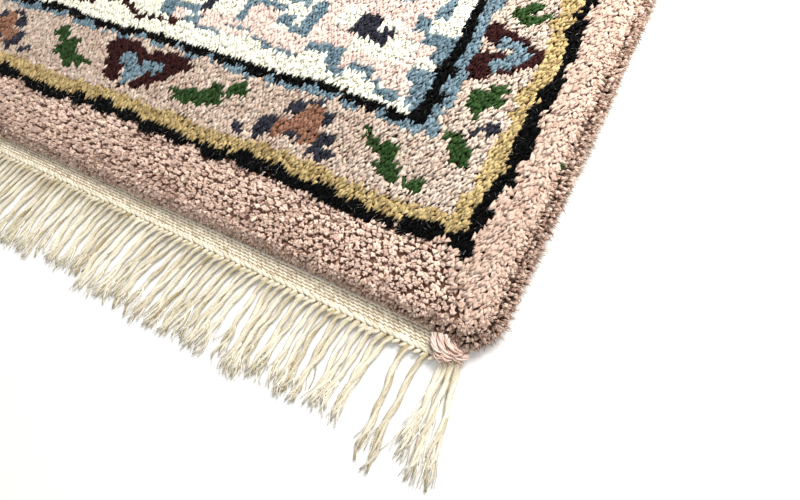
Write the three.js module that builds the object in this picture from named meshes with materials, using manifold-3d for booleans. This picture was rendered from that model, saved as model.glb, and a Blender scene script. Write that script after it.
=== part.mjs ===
// Small oriental rug lying flat: a hand-knotted wool pile, a flat-woven kelim band and a knotted warp
// fringe at both ends, and a tuft of overcasting yarn at each corner.
// Millimetres, +Z up. The origin is the middle of the underside, +X runs across the rug and +Y along it.
import * as THREE from "three";
import { mergeVertices } from "three/addons/utils/BufferGeometryUtils.js";
import Module from "manifold-3d";

const wasm = await Module();
wasm.setup();

// Driving dimensions
const KNOT = 4; // pitch of the pile knots, both ways
const KNOTS_ACROSS = 167;
const KNOTS_ALONG = 259;
const PILE_HEIGHT = 11.5; // top of the cut pile above the floor
const HALF_WIDTH = (KNOTS_ACROSS * KNOT) / 2;
const HALF_LENGTH = (KNOTS_ALONG * KNOT) / 2;
const CORNER_RADIUS = 16;
const CORNER_STEPS = 6;
const EDGE_STEP = 45; // spacing of the outline's points along the straight edges
const GAP = 0.4; // clearance between two pieces that touch

const KELIM_WIDTH = 10;
const KELIM_THICK = 2.6;
const CHAIN_WIDTH = 7.5; // knotted chain that locks the last weft
const CHAIN_HEIGHT = 4.4;
const CHAIN_CHAMFER = 1.4;
const CHAIN_HALF = 309; // the chain stops short of the corners, and the kelim a little nearer them
const KELIM_HALF = 316;
const TAB_HALF = 323; // loose warps beyond the kelim, under the corner tuft
const TAB_THICK = 2;

const STRANDS = 111; // places for a strand along the chain, at each end
const STRAND_PITCH = 5.45;
const STRAND_WIDTH = 2.6;
const STRAND_HEIGHT = 2.4;
const STRAND_TOP = 0.72; // share of its width that a strand keeps at its top
const ROOT_DEPTH = 3; // length of each strand that lies inside the chain

// Rim of the pile from the floor up: how far out of the knots' edge, as a share of the local bulge plus a
// fixed step inwards, and at what height.
const RIM = [
  { bulge: 0, inset: 0, z: 0 },
  { bulge: 0, inset: 0, z: 3.1 },
  { bulge: 1, inset: 0, z: 5 },
  { bulge: 0.9, inset: 0, z: 7.6 },
  { bulge: 0.4, inset: 2.2, z: 10.4 },
  { bulge: 0, inset: 7, z: PILE_HEIGHT },
];

// Bulge of the rim along one long side and one end, at shares of the edge's length from its left-hand corner
// as seen from outside.
const SIDE_BULGE = [
  { share: 0, bulge: 1.2 },
  { share: 0.06, bulge: 2.6 },
  { share: 0.13, bulge: 5 },
  { share: 0.22, bulge: 3.4 },
  { share: 0.34, bulge: 2 },
  { share: 0.47, bulge: 3.8 },
  { share: 0.6, bulge: 2.4 },
  { share: 0.74, bulge: 5 },
  { share: 0.88, bulge: 2.2 },
  { share: 1, bulge: 1.2 },
];
const END_BULGE = [
  { share: 0, bulge: 1.2 },
  { share: 0.18, bulge: 2.4 },
  { share: 0.4, bulge: 1.6 },
  { share: 0.62, bulge: 2.8 },
  { share: 0.85, bulge: 1.8 },
  { share: 1, bulge: 1.2 },
];

// Clumps of fringe strands along one end, from the corner that the rug is seen from: how many strands, how many
// places are bare after them, how far the tips lean along the edge away from that corner, how much they draw
// together, and how long the strands are.
const CLUMPS = [
  { strands: 1, bare: 1, lean: -2, gather: 0, length: 66 },
  { strands: 1, bare: 1, lean: -7, gather: 0, length: 63 },
  { strands: 10, bare: 0, lean: 0, gather: 0.04, length: 54 },
  { strands: 3, bare: 0, lean: 1.5, gather: 0.1, length: 55 },
  { strands: 4, bare: 0, lean: 0, gather: 0.12, length: 58 },
  { strands: 11, bare: 0, lean: 5, gather: 0.06, length: 58 },
  { strands: 6, bare: 0, lean: 7, gather: 0.1, length: 56 },
  { strands: 4, bare: 0, lean: 4, gather: 0.14, length: 58 },
  { strands: 9, bare: 0, lean: -1, gather: 0.1, length: 53 },
  { strands: 8, bare: 0, lean: 1, gather: 0.08, length: 57 },
  { strands: 5, bare: 0, lean: 5, gather: 0.12, length: 60 },
  { strands: 10, bare: 0, lean: 6, gather: 0.06, length: 55 },
  { strands: 7, bare: 0, lean: 2, gather: 0.1, length: 58 },
  { strands: 9, bare: 0, lean: -2, gather: 0.08, length: 54 },
  { strands: 6, bare: 0, lean: 0, gather: 0.12, length: 59 },
  { strands: 11, bare: 0, lean: 4, gather: 0.06, length: 56 },
  { strands: 4, bare: 0, lean: 1, gather: 0.1, length: 66 },
];

// Loose warps beyond the chain at each corner: place of the root, lean of the tip towards the corner, and length.
const CORNER_WARPS = [
  { root: 313.6, lean: 0.5, length: 46 },
  { root: 316.2, lean: 3.5, length: 55 },
  { root: 318.8, lean: 7, length: 62 },
  { root: 321.4, lean: 11, length: 60 },
];
const CORNER_WARP_WIDTH = 2;

// Stations along a strand: share of its length, share of its lean reached there, share of its full width.
const STATIONS = [
  { along: 0, lean: 0, width: 0.86 },
  { along: 0.3, lean: 0.3, width: 1 },
  { along: 0.66, lean: 0.8, width: 1 },
  { along: 0.88, lean: 0.97, width: 1.2 },
  { along: 1, lean: 1, width: 0.9 },
];

// Yarns of the corner tuft: turn of the yarn from the edge's direction, in degrees, and length.
const TUFT_YARNS = [
  { turn: -46, length: 14 },
  { turn: -33, length: 18 },
  { turn: -20, length: 20 },
  { turn: -7, length: 19 },
  { turn: 5, length: 15 },
];
const TUFT_HEAD = { x: 309, y: -523.5, width: 9, depth: 6, height: 4.6 };
const TUFT_SPREAD = 0.55; // share of the head's depth over which the yarns leave it
const TUFT_YARN_WIDTH = 2.4;
const TUFT_YARN_HEIGHT = 2.6;
const TUFT_TIP_HEIGHT = 1.6;
const TUFT_FLOOR = KELIM_THICK + GAP; // the tuft lies on the kelim

// A material for each yarn
const WOOL_ROSE = new THREE.MeshStandardMaterial({ color: 0xcfa594, roughness: 0.95, metalness: 0 });
const COTTON_IVORY = new THREE.MeshStandardMaterial({ color: 0xe6dcc0, roughness: 0.9, metalness: 0 });
const WOOL_BLUSH = new THREE.MeshStandardMaterial({ color: 0xe0b8a8, roughness: 0.95, metalness: 0 });

// Value of one column of a table between its rows, at a place in another column.
function between(table, place, from, column) {
  const next = table.findIndex((row) => row[from] >= place);
  if (next <= 0) return table[0][column];
  const a = table[next - 1];
  const b = table[next];
  return THREE.MathUtils.lerp(a[column], b[column], (place - a[from]) / (b[from] - a[from]));
}

// Closed solid from rings of points, the first and last ring closed by caps.
function loft(rings) {
  const sides = rings[0].length;
  const points = rings.flat();
  const faces = [];
  for (let r = 0; r + 1 < rings.length; r += 1) {
    for (let s = 0; s < sides; s += 1) {
      const a = r * sides + s;
      const b = r * sides + ((s + 1) % sides);
      faces.push(a, b, b + sides, a, b + sides, a + sides);
    }
  }
  const flat = rings[0].map((p) => new THREE.Vector2(p.u, p.v));
  const last = (rings.length - 1) * sides;
  for (const [a, b, c] of THREE.ShapeUtils.triangulateShape(flat, [])) {
    faces.push(a, c, b, last + a, last + b, last + c);
  }
  const geometry = new THREE.BufferGeometry();
  geometry.setAttribute("position", new THREE.Float32BufferAttribute(points.flatMap((p) => [p.x, p.y, p.z]), 3));
  geometry.setIndex(faces);
  return geometry;
}

// Geometry to solid and back, for joining.
function solid(geometry) {
  const bare = geometry.clone();
  bare.deleteAttribute("normal");
  bare.deleteAttribute("uv");
  const merged = mergeVertices(bare, 1e-4);
  return new wasm.Manifold(
    new wasm.Mesh({
      numProp: 3,
      vertProperties: new Float32Array(merged.attributes.position.array),
      triVerts: new Uint32Array(merged.index.array),
    }),
  );
}

function joined(geometries) {
  const mesh = geometries.map(solid).reduce((whole, piece) => whole.add(piece)).getMesh();
  const geometry = new THREE.BufferGeometry();
  geometry.setAttribute("position", new THREE.BufferAttribute(mesh.vertProperties, 3));
  geometry.setIndex(new THREE.BufferAttribute(mesh.triVerts, 1));
  geometry.computeVertexNormals();
  return geometry;
}

// Pile
// Points of the rug's outline, anticlockwise from above, each with its outward direction and the local bulge.
function outline() {
  const edges = [
    { half: HALF_WIDTH, out: HALF_LENGTH, turn: 0, table: END_BULGE },
    { half: HALF_LENGTH, out: HALF_WIDTH, turn: 90, table: SIDE_BULGE },
    { half: HALF_WIDTH, out: HALF_LENGTH, turn: 180, table: END_BULGE },
    { half: HALF_LENGTH, out: HALF_WIDTH, turn: 270, table: SIDE_BULGE },
  ];
  const points = [];
  for (const { half, out, turn, table } of edges) {
    const straight = half - CORNER_RADIUS;
    const steps = Math.ceil((2 * straight) / EDGE_STEP);
    const angle = THREE.MathUtils.degToRad(turn);
    const place = (x, y, heading, bulge) => {
      const at = new THREE.Vector2(x, y).rotateAround(new THREE.Vector2(), angle);
      const outward = new THREE.Vector2(Math.sin(heading), -Math.cos(heading));
      points.push({ at, outward: outward.rotateAround(new THREE.Vector2(), angle), bulge });
    };
    for (let i = 0; i < steps; i += 1) {
      const share = i / steps;
      place(-straight + 2 * straight * share, -out, 0, between(table, share, "share", "bulge"));
    }
    for (let i = 0; i < CORNER_STEPS; i += 1) {
      const heading = (Math.PI / 2) * (i / CORNER_STEPS);
      const x = straight + CORNER_RADIUS * Math.sin(heading);
      const y = -out + CORNER_RADIUS * (1 - Math.cos(heading));
      place(x, y, heading, table[table.length - 1].bulge);
    }
  }
  return points;
}

function pile() {
  const edge = outline();
  const rings = RIM.map(({ bulge, inset, z }) =>
    edge.map((p) => {
      const out = p.bulge * bulge - inset;
      const x = p.at.x + p.outward.x * out;
      const y = p.at.y + p.outward.y * out;
      return { x, y, z, u: x, v: y };
    }),
  );
  return loft(rings);
}

// Fringe
// Section of a strand that lies flat on the floor: its points across (u) and up (v).
function strandSection(width, height) {
  const half = width / 2;
  return [
    { u: -half, v: 0 },
    { u: half, v: 0 },
    { u: half * STRAND_TOP, v: height },
    { u: -half * STRAND_TOP, v: height },
  ];
}

// One strand from its root towards -Y.
function strand(root, lean, length, width) {
  const start = -(HALF_LENGTH + GAP + KELIM_WIDTH + CHAIN_WIDTH - ROOT_DEPTH);
  return loft(
    STATIONS.map((station) => {
      const x = root + lean * station.lean;
      const y = start - (length + ROOT_DEPTH) * station.along;
      return strandSection(width * station.width, STRAND_HEIGHT).map((p) => ({ x: x + p.u, y, z: p.v, ...p }));
    }),
  );
}

// Kelim band with the chain along its outer edge, and the loose warps' tab that reaches past the chain.
function kelimBand() {
  const inner = -(HALF_LENGTH + GAP);
  const chain = inner - KELIM_WIDTH;
  const outer = chain - CHAIN_WIDTH;
  const bar = (half, profile) => {
    const ring = (x) => profile.map(([y, z]) => ({ x, y, z, u: y, v: z }));
    return loft([ring(-half), ring(half)]);
  };
  return [
    bar(CHAIN_HALF, [
      [outer, 0],
      [chain, 0],
      [chain, CHAIN_HEIGHT - CHAIN_CHAMFER],
      [chain - CHAIN_CHAMFER, CHAIN_HEIGHT],
      [outer + CHAIN_CHAMFER, CHAIN_HEIGHT],
      [outer, CHAIN_HEIGHT - CHAIN_CHAMFER],
    ]),
    bar(KELIM_HALF, [
      [chain - CHAIN_CHAMFER, 0],
      [inner, 0],
      [inner, KELIM_THICK],
      [chain - CHAIN_CHAMFER, KELIM_THICK],
    ]),
    bar(TAB_HALF, [
      [outer, 0],
      [inner, 0],
      [inner, TAB_THICK],
      [outer, TAB_THICK],
    ]),
  ];
}

// Strands of one end, clump by clump from the +X corner, and the loose warps at its two corners.
function fringe(clumps) {
  const pieces = kelimBand();
  let first = 0;
  for (const { strands, bare, lean, gather, length } of clumps) {
    for (let i = 0; i < strands; i += 1) {
      const root = ((STRANDS - 1) / 2 - first - i) * STRAND_PITCH;
      const fromMiddle = (i - (strands - 1) / 2) * STRAND_PITCH;
      pieces.push(strand(root, fromMiddle * gather - lean, length, STRAND_WIDTH));
    }
    first += strands + bare;
  }
  for (const corner of [1, -1]) {
    for (const { root, lean, length } of CORNER_WARPS) {
      pieces.push(strand(corner * root, corner * lean, length, CORNER_WARP_WIDTH));
    }
  }
  return joined(pieces);
}

// Corner tuft of overcasting yarn, at the +X, -Y corner.
function cornerTuft() {
  const { x, y, width, depth, height } = TUFT_HEAD;
  const head = new THREE.BoxGeometry(width, depth, height);
  head.translate(x, y, TUFT_FLOOR + height / 2);
  const stations = [
    { far: 0, floor: TUFT_FLOOR, height: TUFT_YARN_HEIGHT, width: 0.8 },
    { far: 0.6, floor: TUFT_FLOOR, height: TUFT_YARN_HEIGHT, width: 1 },
    { far: 1, floor: TUFT_FLOOR - 0.6, height: TUFT_TIP_HEIGHT, width: 0.7 },
  ];
  const yarns = TUFT_YARNS.map(({ turn, length }, i) => {
    const angle = THREE.MathUtils.degToRad(turn);
    const along = new THREE.Vector2(Math.cos(angle), Math.sin(angle));
    const across = (i / (TUFT_YARNS.length - 1) - 0.5) * depth * TUFT_SPREAD;
    return loft(
      stations.map(({ far, floor, height: tall, width: wide }) => {
        const at = { x: x + along.x * length * far, y: y + across + along.y * length * far };
        return strandSection(TUFT_YARN_WIDTH * wide, tall).map((p) => ({
          x: at.x - along.y * p.u,
          y: at.y + along.x * p.u,
          z: floor + p.v,
          ...p,
        }));
      }),
    );
  });
  return joined([head, ...yarns]);
}

// The rug
const rug = new THREE.Group();

function add(name, geometry, material) {
  const mesh = new THREE.Mesh(geometry, material);
  mesh.name = name;
  rug.add(mesh);
  return mesh;
}

add("rug_pile", pile(), WOOL_ROSE);

const ends = [
  { end: "front", turn: 0, clumps: CLUMPS },
  { end: "back", turn: Math.PI, clumps: [...CLUMPS].reverse() },
];
for (const { end, turn, clumps } of ends) {
  add(`kelim_fringe_${end}`, fringe(clumps), COTTON_IVORY).rotation.z = turn;
  for (const { side, mirror } of [
    { side: "a", mirror: 1 },
    { side: "b", mirror: -1 },
  ]) {
    const tuft = add(`selvedge_tuft_${end}_${side}`, cornerTuft(), WOOL_BLUSH);
    tuft.rotation.z = turn;
    tuft.scale.x = mirror;
  }
}

export default rug;
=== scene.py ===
"""Small hand-knotted oriental rug on a pale floor, seen close over one corner.

Every yarn end of the pile is a tuft of its own, dyed by a knot chart. The kelim bands, the chain stitch and
the warp fringe are built from their yarns. Sizes are in millimetres in this file, in metres in the scene.
"""

import math

import bmesh
import bpy
import numpy as np
from mathutils import Matrix, Vector


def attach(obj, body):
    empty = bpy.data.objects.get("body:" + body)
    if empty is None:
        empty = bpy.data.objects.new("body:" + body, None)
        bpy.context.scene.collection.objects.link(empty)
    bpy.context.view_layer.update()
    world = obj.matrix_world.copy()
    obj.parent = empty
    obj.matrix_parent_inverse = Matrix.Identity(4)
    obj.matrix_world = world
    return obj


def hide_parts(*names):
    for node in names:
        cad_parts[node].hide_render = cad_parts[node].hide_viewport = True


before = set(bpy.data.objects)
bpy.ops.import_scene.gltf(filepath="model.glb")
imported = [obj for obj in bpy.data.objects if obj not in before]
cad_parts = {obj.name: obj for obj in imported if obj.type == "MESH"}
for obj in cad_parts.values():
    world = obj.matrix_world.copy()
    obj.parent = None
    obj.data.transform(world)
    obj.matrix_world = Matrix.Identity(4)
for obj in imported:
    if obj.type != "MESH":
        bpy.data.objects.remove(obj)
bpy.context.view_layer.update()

MM = 0.001
rng = np.random.default_rng(1187)

# Knots and the sizes that follow from them
KNOT = 4.0
ACROSS, ALONG = 167, 259
HALF_WIDTH, HALF_LENGTH = ACROSS * KNOT / 2, ALONG * KNOT / 2
PILE_TOP = 11.5
BACK_TOP = 2.2  # top of the woven foundation, where the pile yarns come out

# Stripes from the rug's edge inwards: yarn, and how many knots from the long side and from the end it starts.
# A part of a knot is the share of the edge that is stepped one knot further in
STRIPES = [
    ("rose", 0, 0),
    ("black", 7.4, 11.4),
    ("gold", 9.7, 13.4),
    ("blush", 12.6, 16.0),
    ("blue", 22.3, 28.2),
    ("black", 24.6, 29.3),
    ("ivory", 27.9, 31.1),
]

# Yarn colours in the shade of the pile and in the light, as dyed wool shows them
YARNS = {
    "rose": ("#B28F7D", "#ECD0BE"),
    "black": ("#000000", "#08090A"),
    "gold": ("#765A2A", "#E0C68E"),
    "blush": ("#9A7A66", "#EEDAC9"),
    "blue": ("#3A5664", "#8EA6B2"),
    "ivory": ("#FBF2D0", "#FFFFEE"),
    "petal": ("#DAB4A6", "#FCE4D8"),
    "navy": ("#14141C", "#3E404C"),
    "maroon": ("#1A0A08", "#402020"),
    "rust": ("#54342A", "#B4846A"),
    "green": ("#0E200C", "#3C5A2E"),
}
LOOSE_ROSE = ("#7A5646", "#F5D8C6")  # the rose yarn at the ends and round the rim
GIRTH = 1.95  # radius of a laid tuft
CLOSE_GIRTHS = {"ivory": 2.45, "petal": 2.45, "rose": 2.4}  # tufts of these yarns lie closer
LEVEL = {"ivory": 0.8, "petal": 0.7, "rose": 1.0, "blush": 0.4}  # share of the light taken as one level nap
LETTERS = {
    "k": "black", "b": "blue", "n": "navy", "m": "maroon",
    "r": "rust", "g": "green", "i": "ivory", "p": "petal",
}

# Motifs of the main border, charted knot by knot, far row first
RUST_FLOWER = """
..........nnn........
........nn.rrrnn.....
.......nnnrrrrnn.....
.......nnnrrrrrn.....
.........rrrrrr......
....nnnrrrrrrrrrnnn..
....nnnrrrrrrrrrnnn..
....nnnrrrnnnrrrnn...
nn..nnnnr....rr.nnnnn
.nn..nn.........n.nn.
"""
HEART_FLOWER = """
..mmmmmm.......mmmmmm..
mmmmmmmmmmm.mmmmmmmmmmm
.mmmmmmmmmmmmmmmmmmmmm.
..mmmbbbbmmmmbbbbmmmm..
..mmmbbbbmmmbbbbbmmm...
...mmmbbbbmbbbbbmmm....
....mmmmbbbbbbmmmmm....
.....mmmmbbbb.mmmm.....
.....mmmmbbbbmmmmm.....
.....mmm.bbb.mmm.......
..........mmm..........
"""
END_LEAF = """
gg..............
.ggg.ggg........
..gggggg........
....gggg........
......ggg.......
.....ggggg......
.......ggggg.gg.
.........gg.ggg.
"""
MID_LEAF = """
.............gg.
............gggg
........ggg.gggg
........gggggg..
.......ggggg....
....ggggggggg...
.ggggggggggg....
...gggggg.......
.....gg.........
"""
SIDE_HEART = """
.mm........
mmm........
mmmmmm.....
mmmbbmmm...
.mmbbbbmm..
...bbbbbmmm
......bbbmm
mmmmmbbbbmm
mmmmbbbbmm.
mmmbbbbmm..
mmmmbmmm...
mmmmm......
.mmm.......
"""
CORNER_LEAF = """
ggg...
gggg..
.gggg.
..gggg
...ggg
...ggg
"""
STEM = """
...nn
.nnnn
nn.n.
"""
BUSHY_LEAF = """
....g.
...ggg
ggggg.
gggggg
gggggg
gggg..
.gg...
..g...
"""
CRESCENT = """
..ggg..
gggg...
ggg..gg
gggggg.
..ggg..
"""


def painted(rows, **swap):
    """A motif with some of its letters exchanged."""
    return rows.translate(str.maketrans(swap))


# Where the motifs of one quarter of the border sit: motif, knots from the long side and from the end to its
# middle
BORDER = [
    (END_LEAF, 25.5, 21.5),
    (RUST_FLOWER, 44.5, 21.5),
    (MID_LEAF, 65.5, 22),
    (HEART_FLOWER, 83, 22),
    (CORNER_LEAF, 17.5, 26),
    (STEM, 15, 30.5),
    (BUSHY_LEAF, 16.5, 36),
    (SIDE_HEART, 17, 46.7),
    (CRESCENT, 16, 56.2),
    (painted(SIDE_HEART, m="n", b="r"), 18, 67),
    (BUSHY_LEAF, 16.5, 77),
    (SIDE_HEART, 18, 87),
    (CRESCENT, 16.5, 97),
    (painted(SIDE_HEART, m="n", b="r"), 18, 107),
    (BUSHY_LEAF, 16.5, 117.5),
    (SIDE_HEART, 18, 129),
]

# Blocks of the field near the corner that is seen: yarn, first and last knot from the long side, first and
# last from the end. The last block squares off the outer guard
FIELD_CORNER = [
    ("p", 36, 54, 38, 56), ("p", 33, 36, 51, 56), ("p", 30, 36, 36, 46), ("p", 30, 34, 34, 36),
    ("p", 35, 45, 35, 38), ("i", 46, 50, 44, 48), ("i", 38, 42, 45, 47), ("i", 35, 44, 39, 42),
    ("i", 33, 37, 41, 44), ("i", 28, 31, 40, 41), ("n", 42, 46, 43, 46), ("n", 42, 45, 47, 47),
    ("n", 39, 44, 42, 44), ("n", 38, 40, 44, 45), ("b", 33, 35, 47, 50), ("b", 30, 32, 51, 53),
    ("b", 30, 31, 54, 57), ("b", 27, 32, 45, 47), ("b", 27, 29, 42, 45), ("b", 27, 29, 32, 39),
    ("b", 30, 31, 37, 39), ("b", 31, 35, 32, 33), ("b", 36, 38, 34, 34), ("b", 38, 42, 35, 36),
    ("b", 43, 46, 33, 34), ("b", 45, 47, 35, 38), ("b", 48, 52, 37, 38), ("b", 38, 44, 53, 54),
    ("b", 45, 50, 55, 56), ("i", 27, 29, 48, 58), ("i", 43, 50, 57, 60), ("k", 7, 8, 10, 11),
]
FIELD_PETAL = [
    ("p", 53, 78, 36, 39), ("p", 62, 69, 38, 44), ("b", 54, 61, 35, 35), ("b", 61, 65, 36, 36),
    ("b", 66, 72, 37, 37), ("b", 59, 61, 41, 43), ("b", 54, 58, 40, 41), ("b", 54, 56, 42, 48),
    ("i", 57, 58, 42, 48), ("b", 69, 70, 39, 44), ("b", 58, 62, 47, 48), ("b", 62, 68, 44, 45),
]
FIELD_BUD = [
    ("b", 72, 78, 35, 35), ("b", 78, 79, 36, 37), ("b", 85, 88, 36, 39), ("b", 80, 85, 38, 39),
    ("b", 80, 83, 35, 36), ("p", 82, 84, 36, 37), ("n", 78, 79, 39, 42), ("n", 77, 78, 42, 46),
    ("b", 72, 76, 45, 47),
]
FIELD_VINE = [
    (82, 35), (84, 33.5), (87, 34), (89.5, 34.5), (91, 33.2), (93, 34.5), (96, 36), (98, 37), (99.5, 37.2),
    (102, 35.5), (104, 36), (106.5, 34.5), (109, 33.2), (112, 33.7),
]
STRAYS = [("green", 1, 29), ("green", 1, 28)]  # single knots of another yarn: yarn, place from the side, row
# The rest of the field, laid out the same on all sides: vines between the rosettes, and the rosettes' places
INNER_VINES = [
    [(33, 62), (36, 70), (32, 78), (37, 86), (43, 92)],
    [(69, 92), (75, 98), (72, 106), (79, 112)],
    [(79, 48), (84, 56), (78, 64), (84, 72), (79, 80), (83.5, 88)],
    [(33, 104), (37, 112), (32, 120), (36, 129)],
]
INNER_ROSETTES = [(56, 92), (83.5, 129.5), (83.5, 68)]
# Blocks of a rosette, one over the other: yarn, knots from its middle across and along
ROSETTE = [
    ("p", 9, 6), ("p", 6, 9), ("p", 8, 8), ("b", 10, 3), ("b", 3, 10), ("b", 9, 8), ("b", 8, 9), ("i", 5, 2),
    ("i", 2, 5), ("i", 4, 4), ("n", 3, 1), ("n", 1, 3), ("n", 2, 2), ("b", 12, 1), ("b", 1, 12),
]
LONGEST_RUN = 3  # knots that a stripe's edge stays straight
VINE_STEPS = 24  # places along each stretch of a vine


def jogs(start, count):
    """Where a stripe starts along its edge: short runs of knots, at a whole knot or one further in."""
    runs = rng.integers(1, LONGEST_RUN + 1, count)
    steps = math.floor(start) + (rng.random(count) < start % 1)
    return np.repeat(steps, runs)[:count]


def knot_chart():
    """The yarn of every knot, by its row along the rug and its place from the +X side."""
    chart = np.full((ALONG, ACROSS), "rose", dtype="<U6")
    v, u = np.indices(chart.shape)
    for yarn, side, end in STRIPES[1:]:
        near = np.minimum(u, ACROSS - 1 - u) >= jogs(side, ALONG)[v]
        chart[near & (np.minimum(v, ALONG - 1 - v) >= jogs(end, ACROSS)[u])] = yarn

    def block(letter, u0, u1, v0, v1):
        chart[int(v0):int(v1) + 1, int(u0):int(u1) + 1] = LETTERS[letter]

    def vine(points):
        for (u0, v0), (u1, v1) in zip(points, points[1:]):
            for step in np.linspace(0, 1, VINE_STEPS):
                u, v = u0 + (u1 - u0) * step, v0 + (v1 - v0) * step
                block("m", round(u), round(u) + 1, round(v), round(v))

    def motif(rows, u, v):
        lines = rows.strip("\n").split("\n")
        top, right = v + (len(lines) - 1) / 2, u - (len(lines[0]) - 1) / 2
        for down, line in enumerate(lines):
            for step, letter in enumerate(reversed(line)):
                if letter != ".":
                    chart[math.floor(top - down + 0.5), math.floor(right + step + 0.5)] = LETTERS[letter]

    half_across, half_along = (ACROSS + 1) // 2, (ALONG + 1) // 2
    for points in INNER_VINES:
        vine(points)
    for u, v in INNER_ROSETTES:
        for letter, half_u, half_v in ROSETTE:
            block(letter, u - half_u, u + half_u, v - half_v, v + half_v)
    for row in FIELD_CORNER:
        block(*row)
    for rows, u, v in BORDER:
        motif(rows, u, v)
    chart[:, ACROSS - half_across:] = chart[:, :half_across][:, ::-1]
    for row in FIELD_PETAL + FIELD_BUD:
        block(*row)
    vine(FIELD_VINE)
    chart[ALONG - half_along:] = chart[:half_along][::-1, ::-1]
    for yarn, u, v in STRAYS:
        chart[v, u] = yarn
    return chart


# Blender helpers
def linear(code):
    """An sRGB hex colour as linear RGBA."""
    values = [int(code[i:i + 2], 16) / 255 for i in (1, 3, 5)]
    return [v / 12.92 if v <= 0.04045 else ((v + 0.055) / 1.055) ** 2.4 for v in values] + [1.0]


def node(tree, kind, settings=None, links=None):
    """Adds a shader node, sets its properties and sockets, and links its inputs."""
    made = tree.nodes.new(kind)
    for key, value in (settings or {}).items():
        if isinstance(key, str) and hasattr(made, key):
            setattr(made, key, value)
        else:
            made.inputs[key].default_value = value
    for key, source in (links or {}).items():
        tree.links.new(source, made.inputs[key])
    return made


def new_material(name):
    """An empty material and its node tree."""
    material = bpy.data.materials.new(name)
    material.use_nodes = True
    material.node_tree.nodes.clear()
    return material, material.node_tree


def placed(mesh, material):
    """A finished mesh as an object of the scene, at the origin."""
    mesh.materials.append(material)
    made = bpy.data.objects.new(mesh.name, mesh)
    bpy.context.scene.collection.objects.link(made)
    return made


def finished(name, bm, material):
    """A bmesh as an object of the scene."""
    mesh = bpy.data.meshes.new(name)
    bm.to_mesh(mesh)
    bm.free()
    return placed(mesh, material)


def ball(sides, rings):
    """Points and faces of a ball of unit radius, to be drawn out into a tuft or a stitch."""
    bm = bmesh.new()
    bmesh.ops.create_uvsphere(bm, u_segments=sides, v_segments=rings, radius=1.0)
    bm.verts.index_update()
    points = np.array([v.co[:] for v in bm.verts])
    faces = [[v.index for v in f.verts] for f in bm.faces]
    bm.free()
    return points, faces


def joined(name, points, faces, material, **attributes):
    """One mesh of many copies: points is (copies, vertices, 3) in millimetres, faces are one copy's own."""
    copies, count, _ = points.shape
    corners = np.concatenate(faces)
    sizes = np.array([len(f) for f in faces])
    starts = np.concatenate([[0], np.cumsum(sizes)[:-1]])
    mesh = bpy.data.meshes.new(name)
    mesh.vertices.add(copies * count)
    mesh.vertices.foreach_set("co", (points * MM).astype(np.float32).ravel())
    loops = (np.arange(copies)[:, None] * count + corners[None, :]).ravel()
    mesh.loops.add(len(loops))
    mesh.loops.foreach_set("vertex_index", loops.astype(np.int32))
    all_starts = (np.arange(copies)[:, None] * len(corners) + starts[None, :]).ravel()
    mesh.polygons.add(len(all_starts))
    mesh.polygons.foreach_set("loop_start", all_starts.astype(np.int32))
    mesh.polygons.foreach_set("use_smooth", np.ones(len(all_starts), dtype=bool))
    mesh.update(calc_edges=True)
    for key, values in attributes.items():
        values = np.asarray(values, dtype=np.float32)
        vector = values.ndim == 3
        attribute = mesh.attributes.new(key, "FLOAT_VECTOR" if vector else "FLOAT", "POINT")
        attribute.data.foreach_set("vector" if vector else "value", values.ravel())
    return placed(mesh, material)


# Patterns of the yarns. Single fibres are too fine to show, so a streak stands for a bundle of them
BUNDLE_WIDTH, BUNDLE_RUN = 0.7, 2.6  # a streak across and along its yarn
DYE_PATCH = 24.0  # where the dye took unevenly
COTTON_BUNDLE = 0.7
COTTON_STREAKS = 1.8  # streaks across a cotton yarn
STREAK_SHARE, PATCH_SHARE, COTTON_SHARE = 1.7, 0.5, 0.5  # how strongly they mark the yarn
WOOL_RELIEF, COTTON_RELIEF = 0.4, 0.3
PATTERN_SPAN = 90  # each yarn takes its streaks from its own place in this span


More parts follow.
